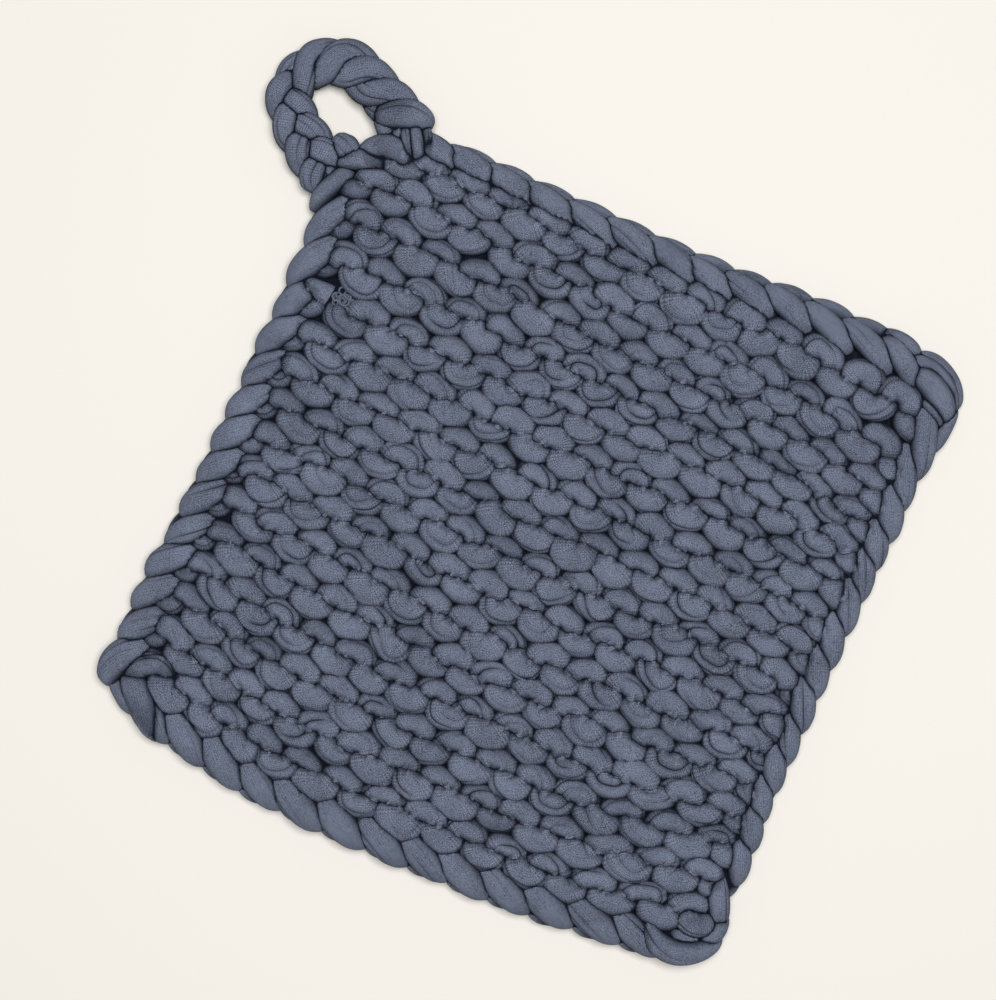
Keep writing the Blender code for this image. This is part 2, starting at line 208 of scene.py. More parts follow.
# The row of stitches that closes the underside beside the top chain
UNDER_TOP = (
    (-0.48, 0.06, 7.6, 2.6, 2.6, 0),
    (-0.30, 0.20, 9.2, 4.4, 3.8, 0),
    (0.00, 0.29, 9.5, 4.9, 4.0, 0),
    (0.30, 0.20, 9.2, 4.4, 3.8, 0),
    (0.48, 0.06, 7.6, 2.6, 2.6, 0),
)
LEFT_UNDER = 0.12  # how far in the left edge's lower strands lie, in stitches
EDGE_STATIONS = 26  # cross-sections along a strand
EDGE_TAPER = 5  # exponent of its taper: more is blunter
EDGE_CREASED = 0.15  # how deep its crease is, as a share
EDGE_FADES = 1.2  # where a crease or fold fades out, as a share of half the strand's length
EDGE_ROLLS = 0.5  # radians that its crease turns along it
EDGE_PINCH = 0.4  # how much it puckers at its ends
# How far chance moves a strand, as a standard deviation.
EDGE_CHANCE = {
    "place": 0.02,  # in stitches and ridges
    "height": 0.2 * MM,
    "size": 0.04,
    "roll": 0.5,
    "crease": 0.5,
    "fold": 0.6,
    "deepest": 0.6,  # the place where a crease or fold is deepest, as a share of half the strand's length
}

# The strands that turn the corners, one after another. Each row is a point's x, y and height in millimetres,
# the strand's half-width there in millimetres, and its lean in degrees. Its half-thickness is the same as its
# half-width, but for LOOSE_THICK.
LOOSE_COLUMNS = ("x", "y", "height", "wide", "lean")
LOOSE_THICK = 3.8  # the most that half a loose strand is thick, in millimetres
TOP_LEFT = (
    (
        (-101.6, 94.8, 5.4, 2.2, 40), (-98.4, 98.9, 9.0, 3.6, 25), (-94.8, 101.7, 10.2, 4.3, 10),
        (-90.4, 102.7, 10.5, 4.4, 0), (-86.0, 101.2, 9.8, 3.9, 0), (-82.8, 98.0, 5.8, 2.4, 0),
    ),
    (
        (-107.0, 90.8, 5.4, 1.8, 30), (-104.6, 92.6, 8.8, 2.9, 20), (-101.0, 94.6, 9.9, 3.7, 10),
        (-96.9, 95.9, 9.8, 3.8, 0), (-92.8, 96.8, 9.2, 3.5, 0), (-89.2, 97.0, 5.8, 2.6, 0),
    ),
    (
        (-101.2, 91.0, 5.4, 2.4, 0), (-102.6, 88.4, 9.0, 3.2, 10), (-104.6, 84.9, 9.8, 3.6, 20),
        (-106.2, 81.0, 9.4, 3.6, 30), (-107.4, 77.0, 7.6, 3.0, 45), (-108.0, 73.6, 5.2, 2.2, 60),
    ),
)
TOP_RIGHT = (
    (
        (77.0, 109.4, 4.6, 1.8, 50), (81.4, 110.6, 6.8, 2.8, 50), (86.4, 111.0, 7.4, 3.0, 50),
        (91.4, 109.8, 6.8, 2.8, 50), (95.6, 107.4, 4.6, 1.8, 60),
    ),
    (
        (91.6, 108.6, 5.0, 1.8, 30), (97.2, 109.4, 7.2, 2.6, 40), (102.2, 108.2, 7.8, 2.8, 45),
        (107.4, 105.0, 7.6, 2.8, 45), (110.8, 100.6, 6.6, 2.6, 50), (112.0, 97.0, 4.8, 1.8, 65),
    ),
    (
        (91.0, 107.0, 5.4, 2.2, 10), (95.6, 106.6, 9.0, 3.0, 20), (101.0, 105.6, 9.4, 3.3, 25),
        (106.0, 102.6, 9.2, 3.3, 25), (109.6, 97.6, 8.2, 2.9, 35), (110.8, 92.8, 5.4, 2.0, 60),
    ),
    (
        (79.6, 109.8, 5.6, 2.0, 0), (83.4, 108.6, 9.2, 3.0, 8), (87.9, 106.0, 10.2, 3.7, 8),
        (92.3, 102.9, 10.2, 3.7, 4), (96.0, 100.0, 8.8, 2.8, 0), (98.8, 97.2, 5.6, 1.8, 0),
    ),
    (
        (93.6, 104.2, 5.6, 2.2, 0), (96.6, 103.2, 9.4, 3.5, 5), (101.0, 101.7, 10.4, 4.2, 8),
        (105.6, 98.6, 10.2, 4.3, 15), (108.6, 95.0, 8.8, 3.4, 30), (110.0, 91.6, 5.6, 2.2, 50),
    ),
    (
        (110.4, 100.0, 5.0, 1.6, 40), (111.0, 96.0, 7.2, 2.3, 40), (110.6, 90.6, 7.6, 2.7, 40),
        (110.4, 85.4, 7.0, 2.4, 45), (110.4, 81.0, 5.0, 1.6, 55),
    ),
    (
        (99.6, 97.0, 6.4, 1.6, 0), (102.2, 95.4, 10.2, 2.2, 0), (105.4, 94.0, 10.8, 2.4, 10),
        (108.4, 91.6, 9.0, 2.0, 25), (110.0, 88.8, 5.6, 1.2, 40),
    ),
)
BOTTOM_LEFT = (
    (
        (-107.4, -90.6, 5.0, 1.8, 40), (-105.6, -93.8, 6.6, 2.6, 45), (-102.4, -96.7, 7.2, 2.8, 45),
        (-98.4, -99.2, 7.0, 2.8, 50), (-94.4, -101.2, 5.0, 1.8, 65),
    ),
    (
        (-88.0, -87.6, 5.6, 2.4, 0), (-90.2, -84.6, 9.6, 3.5, 0), (-94.4, -82.8, 10.6, 3.9, 0),
        (-98.8, -84.8, 10.6, 4.0, 0), (-101.4, -88.6, 9.8, 3.6, 0), (-103.4, -92.4, 5.8, 2.4, 0),
    ),
    (
        (-99.8, -77.0, 5.6, 2.6, 0), (-102.6, -79.6, 9.0, 4.0, 5), (-106.2, -83.4, 10.0, 4.9, 12),
        (-108.3, -87.8, 9.8, 4.8, 22), (-108.6, -92.2, 8.4, 3.8, 38), (-107.4, -95.8, 5.4, 2.2, 60),
    ),
    (
        (-103.4, -89.6, 5.4, 2.2, 0), (-100.4, -91.4, 9.4, 3.9, 5), (-96.0, -95.2, 10.4, 4.6, 12),
        (-91.7, -99.4, 10.2, 4.5, 20), (-88.0, -103.4, 8.4, 3.3, 35), (-85.6, -106.6, 5.2, 1.8, 60),
    ),
)
BOTTOM_RIGHT = (
    (
        (82.0, -95.6, 6.0, 1.8, 0), (85.8, -98.2, 10.6, 3.0, 0), (90.6, -101.2, 11.0, 4.0, 5),
        (96.4, -102.2, 10.6, 4.3, 15), (101.6, -100.6, 10.0, 4.2, 25), (106.0, -97.4, 9.2, 3.6, 30),
        (108.8, -94.0, 7.6, 2.8, 40), (109.6, -90.2, 5.2, 1.8, 60),
    ),
    (
        (107.6, -84.0, 5.4, 1.8, 15), (108.0, -87.2, 8.8, 2.6, 20), (107.6, -90.8, 9.6, 2.9, 25),
        (105.8, -94.4, 8.8, 2.5, 25), (104.2, -97.0, 5.6, 1.6, 30),
    ),
    (
        (99.4, -71.4, 5.6, 2.2, 0), (101.4, -75.4, 9.2, 3.2, 5), (103.8, -80.0, 10.2, 3.7, 10),
        (106.0, -84.4, 9.8, 3.4, 18), (107.6, -88.2, 7.6, 2.5, 32), (108.2, -91.2, 5.0, 1.6, 50),
    ),
    (
        (93.4, -89.4, 5.6, 2.8, 0), (96.2, -90.3, 9.6, 4.2, 0), (99.8, -90.8, 10.6, 4.8, 0),
        (103.2, -89.6, 9.8, 4.2, 0), (105.6, -87.6, 6.0, 2.6, 0),
    ),
    (
        (94.4, -96.8, 5.6, 1.0, 0), (96.8, -96.5, 9.4, 1.8, 0), (99.8, -96.3, 9.8, 1.9, 0),
        (102.6, -95.8, 9.2, 1.7, 0), (104.4, -95.2, 5.6, 0.9, 0),
    ),
    (
        (84.0, -102.0, 4.2, 2.4, 75), (90.0, -102.4, 4.4, 3.3, 75), (96.4, -102.0, 4.5, 3.5, 75),
        (101.8, -99.8, 4.5, 3.5, 75), (105.4, -96.0, 4.5, 3.4, 75), (107.0, -91.0, 4.4, 3.2, 75),
        (107.2, -85.6, 4.2, 2.2, 75),
    ),
)
# The yarn that turns the top right and bottom left corners on the underside
UNDER_CORNERS = (
    (
        (80.0, 108.0, 4.0, 2.2, 75), (88.0, 108.8, 4.2, 3.0, 75), (96.0, 107.4, 4.3, 3.2, 75),
        (102.8, 104.6, 4.3, 3.3, 75), (107.4, 100.0, 4.3, 3.2, 75), (108.8, 94.0, 4.2, 3.0, 75),
        (108.8, 86.0, 4.0, 2.2, 75),
    ),
    (
        (-107.4, -81.0, 4.0, 2.2, 75), (-107.4, -88.4, 4.2, 3.1, 75), (-104.6, -93.0, 4.3, 3.3, 75),
        (-99.6, -96.0, 4.3, 3.3, 75), (-93.8, -98.8, 4.2, 3.1, 75), (-87.6, -102.0, 4.0, 2.2, 75),
    ),
)
# The loop's ends: a fat fold over the chain edge, the lump beside the opening, three small tucks below them,
# and the knob at the plait's end
LOOP_ENDS = (
    (
        (-100.6, 109.6, 5.8, 2.4, 0), (-97.8, 111.6, 10.2, 4.0, 0), (-93.6, 114.0, 11.2, 5.0, 5),
        (-89.2, 115.4, 11.0, 4.9, 8), (-85.4, 115.2, 9.4, 3.6, 15), (-83.2, 114.0, 6.2, 2.2, 30),
    ),
    (
        (-100.4, 110.8, 5.4, 2.0, 0), (-98.0, 109.4, 8.2, 3.1, 0), (-95.6, 107.8, 8.9, 3.6, 0),
        (-93.2, 106.2, 8.0, 3.0, 0), (-91.2, 105.0, 5.4, 1.8, 0),
    ),
    (
        (-91.4, 111.2, 8.0, 1.2, 0), (-89.4, 109.0, 12.0, 1.9, 0), (-86.9, 105.6, 12.6, 2.1, 0),
        (-84.7, 102.8, 11.4, 1.8, 0), (-83.4, 100.8, 7.4, 1.0, 0),
    ),
    (
        (-88.4, 112.8, 8.0, 1.2, 0), (-86.6, 110.2, 12.2, 2.2, 0), (-84.2, 106.4, 12.8, 2.5, 0),
        (-82.4, 103.2, 11.4, 2.0, 0), (-81.4, 101.0, 7.4, 1.0, 0),
    ),
    (
        (-84.2, 113.6, 8.0, 1.2, 0), (-82.8, 111.4, 11.6, 1.7, 0), (-81.0, 108.0, 12.2, 1.9, 0),
        (-79.8, 105.0, 11.0, 1.6, 0), (-79.2, 102.8, 7.2, 0.9, 0),
    ),
    (
        (-109.8, 97.8, 5.6, 2.4, 0), (-107.6, 97.6, 8.6, 3.9, 0), (-105.4, 97.0, 9.0, 4.4, 0),
        (-103.4, 96.2, 8.4, 3.7, 0), (-101.8, 95.6, 5.8, 2.2, 0),
    ),
)
# The cut end of the pad's yarn, in millimetres and degrees, and the threads that fray from it
TAIL_COLUMNS = ("x", "y", "height", "wide", "thick", "lean")
TAIL = (
    (-101.4, 50.9, 8.0, 2.2, 2.2, 0),
    (-98.8, 50.8, 10.4, 2.9, 2.8, 0),
    (-96.2, 50.5, 11.0, 3.4, 2.6, 0),
    (-93.5, 50.0, 11.0, 4.0, 2.3, 0),
    (-90.9, 49.6, 10.6, 4.3, 2.0, 0),
)
TAIL_CUT = 0.04  # share of its length over which its end closes
FRAYS = 22  # threads
FRAY_MIDDLE = (-86.8 * MM, 50.7 * MM, 11.4 * MM)  # where they start
FRAY_SPREAD = (1.8 * MM, 1.8 * MM, 0.375 * MM)  # how far chance moves that, as a standard deviation
FRAY_CURL = (0.8 * MM, 1.5 * MM)  # least and most radius of a curled thread
FRAY_TURNS = (0.5, 1.3)  # least and most turns of one
FRAY_RISE, FRAY_WAVES = 0.4 * MM, 1.7  # how far it rises and falls, and how often for each turn
FRAY_THICK, FRAY_TIP = 0.34 * MM, 0.1  # half its thickness, and the share of it at its tips

# ---- the hanging loop ----
# x and y of the plait's middle line and its width, in millimetres, from the top edge round to the left edge,
# and whether its strands lie there as a flat plait (1) or turned on edge, like a rope's (0)
LOOP_ROUTE = (
    (-86.0, 108.0, 13.0, 0.0),
    (-92.6, 113.6, 15.0, 0.0),
    (-99.0, 116.6, 15.2, 0.0),
    (-106.2, 119.7, 15.2, 0.0),
    (-113.6, 122.6, 15.6, 0.0),
    (-120.4, 121.8, 15.2, 0.0),
    (-126.0, 118.0, 14.4, 0.1),
    (-129.6, 112.4, 14.0, 0.6),
    (-130.2, 106.4, 14.6, 1.0),
    (-127.2, 101.2, 15.2, 1.0),
    (-122.6, 96.8, 16.2, 1.0),
    (-117.2, 92.6, 17.0, 1.0),
    (-111.6, 88.6, 16.6, 1.0),
    (-106.5, 83.0, 14.5, 1.0),
)
PLAIT_STRANDS = 3
PLAIT_LAY = 29.0 * MM  # length of plait in which one strand comes back to its place
PLAIT_STATIONS = 300
PLAIT_WEAVE = 2.6 * MM  # how far a strand goes over and under the others
PLAIT_THICK = 3.8 * MM  # half a strand's thickness
PLAIT_WIDE = 0.275  # half a strand's width, as a share of the plait's
PLAIT_REACH = 0.26  # how far a strand swings to either side, as a share of the plait's width
PLAIT_TIP = 3.0 * MM  # length of a strand's rounded tip
PLAIT_PINCH = 0.3  # how much its jersey puckers
ROPE_LIFT = 3.6 * MM  # how far a strand of the rope rises and falls
ROPE_CROWN = 0.14  # how much wider it is on top, as a share
ROPE_HURRY = 1.2  # how suddenly it crosses over from side to side
LOOP_MIDDLE = 6.6 * MM  # the plait's middle above the table
# How a strand rolls, in radians, creases and folds: middle + size sin(rate turn + apart strand), in limits
PLAIT_FOLDS = {
    "roll": {"middle": 0.0, "size": 0.7, "rate": 0.7, "apart": 2, "limits": (-1, 1)},
    "crease": {"middle": 0.2, "size": 0.9, "rate": 1.3, "apart": 4, "limits": (0, 1)},
    "fold": {"middle": -0.1, "size": 0.9, "rate": 0.9, "apart": 5, "limits": (-1, 1)},
}

# ---- the jersey ----
WALES = 48  # ribs round the yarn
COURSES = 56  # stitches along the same length
V_LEGS = 1.1  # how far the legs of a V stitch run down, in stitches
RIB_FULL = 0.35  # exponent of a rib's outline: less is flatter
STITCHED = 0.9  # share of a rib that rises and falls with its stitches
# Specks to a metre, or to a pucker, and how finely each breaks up
FLUFF, DYE, PUCKER = (3500.0, 1.0), (75.0, 4.0), (1.0, 2.0)
PUCKERS = (24, 2.2)  # puckers round the yarn and along the same length
JERSEY_DEPTH, JERSEY_BUMP = 0.16 * MM, 0.55  # height of the relief, and how strongly it shows
CELL_RELIEF = 0.6  # relief of the stitches, with the fluff's as 1
PUCKER_RELIEF, PINCH_RELIEF = 1.6, 4.0  # of puckers, and what is added to it where the yarn is squeezed
CELL_TONE, FLUFF_TONE, DYE_TONE = 0.66, 1.8, 0.60  # what each adds to the tone, from dark (0) to light (1)
TONE_LESS = 0.88  # taken off their sum
PAINTED_DEPTH_SHADE = 0.98  # how dark the painted shade inside the fabric is, as a share
PAINTED_VALLEY_TONE = 0.4  # the tone of the painted shade beside a seam, as a share
SEAM_RAGGED = 0.8  # how far fluff breaks up the edge of a seam's painted shade, as a share of its width
# YARN_DARK is also the colour that full painted shade gives, in seams and deep in the fabric
YARN_DARK, YARN_PALE = (0.005, 0.007, 0.015, 1.0), (0.224, 0.258, 0.354, 1.0)
FINISH = {"Roughness": 0.9, "Specular IOR Level": 0.12, "Sheen Weight": 0.06, "Sheen Roughness": 0.45}

# ---- the photograph's view, its light and the table ----
IMAGE = {"wide": 996, "high": 1000}
PIXELS_PER_METRE = 3050  # at VIEW_LEVEL
VIEW_CENTRE = (-14.1 * MM, 10.8 * MM)
VIEW_TURN = math.radians(23.4)
LENS, SENSOR = 100.0, 36.0  # millimetres
VIEW_LEVEL = 9.0 * MM
ROOM_COLOUR, ROOM_STRENGTH = (1.0, 0.985, 0.955, 1.0), 0.13
LAMP = {"location": (0.02, 0.14, 1.5), "size": 0.6, "power": 22.6}  # metres and watts
TABLE_HALF = 3.0  # half its side, in metres
TABLE_DROP = 0.2 * MM  # how far the table lies below the pad
TABLE_COLOUR, TABLE_ROUGHNESS = (0.87, 0.84, 0.78, 1.0), 0.8


# ---- the fabric's lie ----


def smooth_through(nodes, values, at):
    """The cubic curve through the values, each slope taken from its neighbours, straight past the ends."""
    at = np.ravel(at)
    nodes = np.asarray(nodes, float)
    values = np.asarray(values, float).reshape(len(nodes), -1)
    values = np.broadcast_to(values, (len(nodes), at.size))
    slopes = np.gradient(values, nodes, axis=0)
    inside = np.clip(at, nodes[0], nodes[-1])
    low = np.clip(np.searchsorted(nodes, inside, side="right") - 1, 0, len(nodes) - 2)
    step = nodes[low + 1] - nodes[low]
    t = (inside - nodes[low]) / step
    each = np.arange(at.size)
    start, end = values[low, each], values[low + 1, each]
    rise_start, rise_end = slopes[low, each] * step, slopes[low + 1, each] * step
    square = 3 * (end - start) - 2 * rise_start - rise_end
    cube = 2 * (start - end) + rise_start + rise_end
    curve = start + t * (rise_start + t * (square + t * cube))
    return curve + np.where(at < nodes[0], slopes[0], slopes[-1]) * (at - inside)


def corner_arc(distance, radius):
    """How far a rounded corner lies inside its sharp edge, at a distance from the corner's middle.

    The corner is a circle's arc: r - sqrt(r^2 - (r - a)^2), with a the place along the edge, which starts
    where the arc is half round.
    """
    along = np.minimum((1 - math.sqrt(0.5)) * radius + math.sqrt(0.5) * distance, radius)
    return radius - np.sqrt(radius**2 - (radius - along) ** 2)


def lie_of(lines, column, ridge):
    """One coordinate of the fabric's points: a curve along each line, then one across the lines."""
    curves = [smooth_through(LINE_COLUMNS, line, column) for line in lines]
    return MM * smooth_through(LINE_RIDGES, curves, ridge)


def place(column, ridge):
    """x and y of the fabric's points, from their places counted in stitches and ridges.

    Each corner draws its two sides in by its arc, and the pull dies out across the fabric as
    exp(-CORNER_FADE distance / radius).
    """
    column, ridge = np.broadcast_arrays(column, ridge)
    shape = column.shape
    column, ridge = column.ravel(), ridge.ravel()
    x, y = lie_of(FABRIC_X, column, ridge), lie_of(FABRIC_Y, column, ridge)
    for corner in CORNERS:
        radius = corner["radius"]
        side = RIGHT_EDGE if corner["side_x"] > 0 else LEFT_EDGE
        end = TOP_EDGE if corner["side_y"] > 0 else BOTTOM_EDGE
        across = np.abs(side - column) * STITCH_WIDTH
        down = np.abs(end - ridge) * RIDGE_HEIGHT
        x = x - corner["side_x"] * corner_arc(down, radius) * np.exp(-CORNER_FADE * across / radius)
        y = y - corner["side_y"] * corner_arc(across, radius) * np.exp(-CORNER_FADE * down / radius)
    return x.reshape(shape), y.reshape(shape)


# ---- yarn ----


def unit(vectors):
    """The vectors at length one."""
    return vectors / np.maximum(np.linalg.norm(vectors, axis=-1, keepdims=True), 1e-12)


def filled(wave):
    """A sine or cosine pushed outwards, |wave|^(2 / FULLNESS) with its sign: its oval is a superellipse."""
    return np.sign(wave) * np.abs(wave) ** (2 / FULLNESS)


def rounded_tip(share, least=TIP_LEAST):
    """The size of a round tip at a share of its length: the root of the share, never less than the least."""
    return np.clip(np.sqrt(share), least, 1)


def by_chance(draw, sizes, shape):
    """A function that draws numbers round zero, in the shape given, with the deviation that a key names."""
    return lambda key: draw.normal(0, sizes[key], shape)


def rest_on_table(points):
    """Heights z below s = REST_SOFTLY are eased to s exp(z / s - 1), a thin layer above the table."""
    low = points[..., 2] < REST_SOFTLY
    eased_down = REST_SOFTLY * np.exp(np.minimum(points[..., 2], REST_SOFTLY) / REST_SOFTLY - 1)
    points[..., 2] = np.where(low, eased_down, points[..., 2])
    return points


def tubes(middle, up, wide, thick, roll, crease, fold):
    """Yarn swept along paths: strands x stations x outline points.

    At each station the outline is a superellipse, its long axis square to the path and to up. The point at
    angle a from up lies at thick cos a along up and wide sin a across, drawn in by the crease, which sits at
    roll, and by the fold beside it, on the side that its sign says. The ends taper to a point.
    """
    along = unit(np.gradient(middle, axis=1))
    normal = unit(up - np.sum(up * along, axis=-1, keepdims=True) * along)
    across = np.cross(along, normal)
    angle = ANGLES + roll[..., None]
    fold_here = np.maximum(fold[..., None] * FOLD, 0)
    drawn = 1 - CREASE_DEPTH * crease[..., None] * CREASE - FOLD_DEPTH * fold_here
    lifted = (thick[..., None] * filled(np.cos(angle)) * drawn)[..., None] * normal[..., None, :]
    sideways = (wide[..., None] * filled(np.sin(angle)) * drawn)[..., None] * across[..., None, :]
    return middle[..., None, :] + lifted + sideways


def tube_faces(strands, stations):
    """Corner numbers of every face, strand by strand: quads along the tube, then a fan at each end.

    Point j of station i is number i ring + j, and the two poles come after them.
    """
    ring = len(ANGLES)
    each = stations * ring + 2
    i, j = np.meshgrid(np.arange(stations - 1), np.arange(ring), indexing="ij")
    after = (j + 1) % ring
    quads = np.stack([i * ring + j, i * ring + after, (i + 1) * ring + after, (i + 1) * ring + j], axis=-1)
    j, after, last = j[0], after[0], (stations - 1) * ring
    fan_start = np.stack([np.full(ring, each - 2), after, j], axis=-1)
    fan_end = np.stack([np.full(ring, each - 1), last + j, last + after], axis=-1)
    shift = (np.arange(strands) * each)[:, None, None]
    quads = quads.reshape(1, -1, 4) + shift
    fans = np.concatenate([fan_start, fan_end])[None] + shift
    return quads.reshape(-1, 4), fans.reshape(-1, 3)


def tube_uv(length, quads, fans, strands, stations):
    """The yarn's own UV at every face corner.

    Once round the yarn, u goes from 0 to 1 with the outline's length, and v is the length along it over
    YARN_ROUND, the same unit. The last quad round closes at 1.
    """
    ring = len(ANGLES)
    each = stations * ring + 2
    number = np.arange(strands * each) % each
    strand = np.arange(strands * each) // each
    station = np.minimum(number // ring, stations - 1)
    station[number == each - 2] = 0
    v = length[strand, station] / YARN_ROUND
    u = ROUND_THE_YARN[np.minimum(number, stations * ring - 1) % ring]
    quad_u = u[quads]
    seam = quads[:, 0] % each % ring == ring - 1
    quad_u[seam, 1:3] = 1.0
    quad_uv = np.stack([quad_u, v[quads]], axis=-1)
    fan_uv = np.stack([u[fans], v[fans]], axis=-1)
    return np.concatenate([quad_uv.reshape(-1, 2), fan_uv.reshape(-1, 2)])


def cell_of(points):
    """Column and row of the grid, with fractions, for each point."""
    return (points[..., 0] + GRID / 2 * CELL) / CELL, (points[..., 1] + GRID / 2 * CELL) / CELL


def closer(values, axis, times):
    """The values and more of them on the straight way from each to the next."""
    start = np.take(values, range(values.shape[axis] - 1), axis)
    step = np.diff(values, axis=axis)
    return np.concatenate([start + step * part / times for part in range(times)], axis)


def view_of(face, parts):
    """For every grid cell seen from one face: the highest strand's height, its number, the next one's height.

    The parts' surfaces are filled with points closer than a cell. Sorting keeps each strand's highest point
    in each cell, and then the two highest strands.
    """
    cells, owners, heights = [], [], []
    for part in parts:
        surface = np.concatenate([part["surface"], part["surface"][:, :, :1]], axis=2)
        owner = np.broadcast_to(part["owner"][:, :-1, None], surface[:, :-1, :-1].shape[:3])
        owner = np.tile(owner, (1, FINER["along"], FINER["round"]))
        dense = closer(closer(surface, 1, FINER["along"]), 2, FINER["round"])
        height = dense[..., 2] if face > 0 else PAD_TOP - dense[..., 2]
        near = height > PAD_TOP / 2
        column, row = cell_of(dense[near])
        cells.append(column.astype(int) * GRID + row.astype(int))
        owners.append(owner[near])
        heights.append(height[near])
    cell, owner, height = (np.concatenate(values) for values in (cells, owners, heights))
    order = np.lexsort((-height, owner, cell))
    cell, owner, height = cell[order], owner[order], height[order]
    first = np.append(True, (np.diff(cell) != 0) | (np.diff(owner) != 0))
    cell, owner, height = cell[first], owner[first], height[first]
    order = np.lexsort((-height, cell))
    cell, owner, height = cell[order], owner[order], height[order]
    first = np.append(True, np.diff(cell) != 0)
    second = np.append(False, first[:-1]) & ~first
    highest, whose, next_one = np.zeros(GRID * GRID), np.full(GRID * GRID, -1), np.zeros(GRID * GRID)
    highest[cell[first]], whose[cell[first]] = height[first], owner[first]
    next_one[cell[second]] = height[second]
    return highest, whose, next_one


def over_others(face, view, part):
    """How much higher a strand's points are, seen from one face, than the highest other strand there.

    That height is blended between the four cells round the point, each by its nearness across and up.
    """
    highest, whose, next_one = view
    surface = part["surface"]
    height = surface[..., 2] if face > 0 else PAD_TOP - surface[..., 2]
    column, row = cell_of(surface)
    left, below = np.floor(column - 0.5).astype(int), np.floor(row - 0.5).astype(int)
    across, up = column - 0.5 - left, row - 0.5 - below
    other = np.zeros(height.shape)
    for i, j in ((0, 0), (1, 0), (0, 1), (1, 1)):
        cell = (left + i) * GRID + below + j
        here = np.where(whose[cell] == part["owner"][..., None], next_one[cell], highest[cell])
        other += here * np.where(i, across, 1 - across) * np.where(j, up, 1 - up)
    return height - other


def find_seams(pieces):
    """Gives each part its surface and, in metres, how far its points stand out over the strands beside them.

    Free parts, such as loose threads, put painted shade on nothing, and count as standing far out.
    """
    parts = [part for group in pieces for part in group]
    number = 0
    for part in parts:
        surface = tubes(*(part[key] for key in ("middle", "up", "wide", "thick", "roll", "crease", "fold")))
        part["surface"] = rest_on_table(surface)
        own = part.get("owner", np.zeros(surface.shape[:2], int))
        part["owner"] = own + number + ROW_OWNERS * np.arange(len(own))[:, None]
        number += ROW_OWNERS * len(own)
    laid = [part for part in parts if not part.get("free")]
    above, under = view_of(1, laid), view_of(-1, laid)
    for part in parts:
        upper = part["surface"][..., 2] > PAD_TOP / 2
        over = np.where(upper, over_others(1, above, part), over_others(-1, under, part))
        part["over"] = np.clip(over + (FAR if part.get("free") else 0), -FAR, FAR)


def painted_shade_of(part, fabric):
    """Painted shade on a part's points, from 0 to 1: in its creases, and where they lie deep.

    In the fabric, depth is counted from the nearer face. Elsewhere a strand with its crown at angle 0 is
    SIDE_DEPTH thick (1 - cos a) deep at angle a.
    """
    crease_shade = PAINTED_CREASE_SHADE * np.maximum(part["crease"][..., None] * CREASE, part["fold"][..., None] * FOLD)
    if fabric:
        height = part["surface"][..., 2]
        depth = np.minimum(height, PAD_TOP - height)
    else:
        crown = filled(np.cos(ANGLES + part["roll"][..., None]))
        depth = SIDE_DEPTH * part["thick"][..., None] * (1 - crown)
    share = np.clip((depth - LIGHT_FAILS) / (LIGHT_GONE - LIGHT_FAILS), 0, 1)
    return np.clip(np.maximum(crease_shade, share), 0, 1)


def with_poles(values):
    """The values of each strand's points, and after them its two poles' values: its first and its last."""
    values = values.reshape(len(values), -1)
    return np.concatenate([values, values[:, :1], values[:, -1:]], axis=1).ravel()


def add_yarn(name, parts, material, node=None, fabric=False):
    """One object from groups of strands: each part gives the arguments of tubes(), its pinch and its seams.

    The mesh carries the yarn's own UV map and three attributes for its material: pinch, painted_shade and
    over.
    """
    points, uvs, quads, fans, shift = [], [], [], [], 0
    marks = {"pinch": [], "painted_shade": [], "over": []}
    for part in parts:
        surface, middle = part["surface"], part["middle"]
        strands, stations, ring = surface.shape[:3]
        poles = rest_on_table(np.stack([middle[:, 0], middle[:, -1]], axis=1))
        points.append(np.concatenate([surface.reshape(strands, -1, 3), poles], axis=1).reshape(-1, 3))
        steps = np.linalg.norm(np.diff(middle, axis=1), axis=-1)
        length = np.concatenate([np.zeros((strands, 1)), np.cumsum(steps, axis=1)], axis=1)
        own_quads, own_fans = tube_faces(strands, stations)
        uvs.append(tube_uv(length + UV_APART * shift, own_quads, own_fans, strands, stations))
        marks["pinch"].append(with_poles(np.repeat(part["pinch"], ring, axis=1)))
        # painted shade: darker in the yarn's creases and deep inside the fabric
        marks["painted_shade"].append(with_poles(painted_shade_of(part, fabric)))
        marks["over"].append(with_poles(part["over"] if fabric else LOOSER * part["over"]))
        quads.append(own_quads + shift)
        fans.append(own_fans + shift)
        shift += len(points[-1])
    corners = [np.concatenate([four.ravel(), three.ravel()]) for four, three in zip(quads, fans)]
    sizes = np.concatenate([np.repeat([4, 3], [len(four), len(three)]) for four, three in zip(quads, fans)])
    starts = np.concatenate([[0], np.cumsum(sizes)[:-1]])
    mesh = bpy.data.meshes.new(name)
    mesh.vertices.add(shift)
    mesh.vertices.foreach_set("co", np.concatenate(points).astype(np.float32).ravel())
    mesh.loops.add(int(sizes.sum()))
    mesh.loops.foreach_set("vertex_index", np.concatenate(corners).astype(np.int32))
    mesh.polygons.add(len(sizes))
    mesh.polygons.foreach_set("loop_start", starts.astype(np.int32))
    mesh.polygons.foreach_set("use_smooth", np.ones(len(sizes), bool))
    mesh.uv_layers.new(name="yarn").data.foreach_set("uv", np.concatenate(uvs).astype(np.float32).ravel())
    for key, values in marks.items():
        attribute = mesh.attributes.new(key, "FLOAT", "POINT")
        attribute.data.foreach_set("value", np.concatenate(values).astype(np.float32))
    mesh.update(calc_edges=True)
    mesh.validate()
    mesh.materials.append(material)
    piece = bpy.data.objects.new(name, mesh)
    bpy.context.scene.collection.objects.link(piece)
    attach(piece, "root")
    if node:
        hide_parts(node)


# ---- the knitting ----


def half_stitch(key, step):
    """The yarn's climb, way through the fabric or size at a step between a sinker (0) and a head (1)."""
    return smooth_through(HALF_STITCH["step"], HALF_STITCH[key], step)


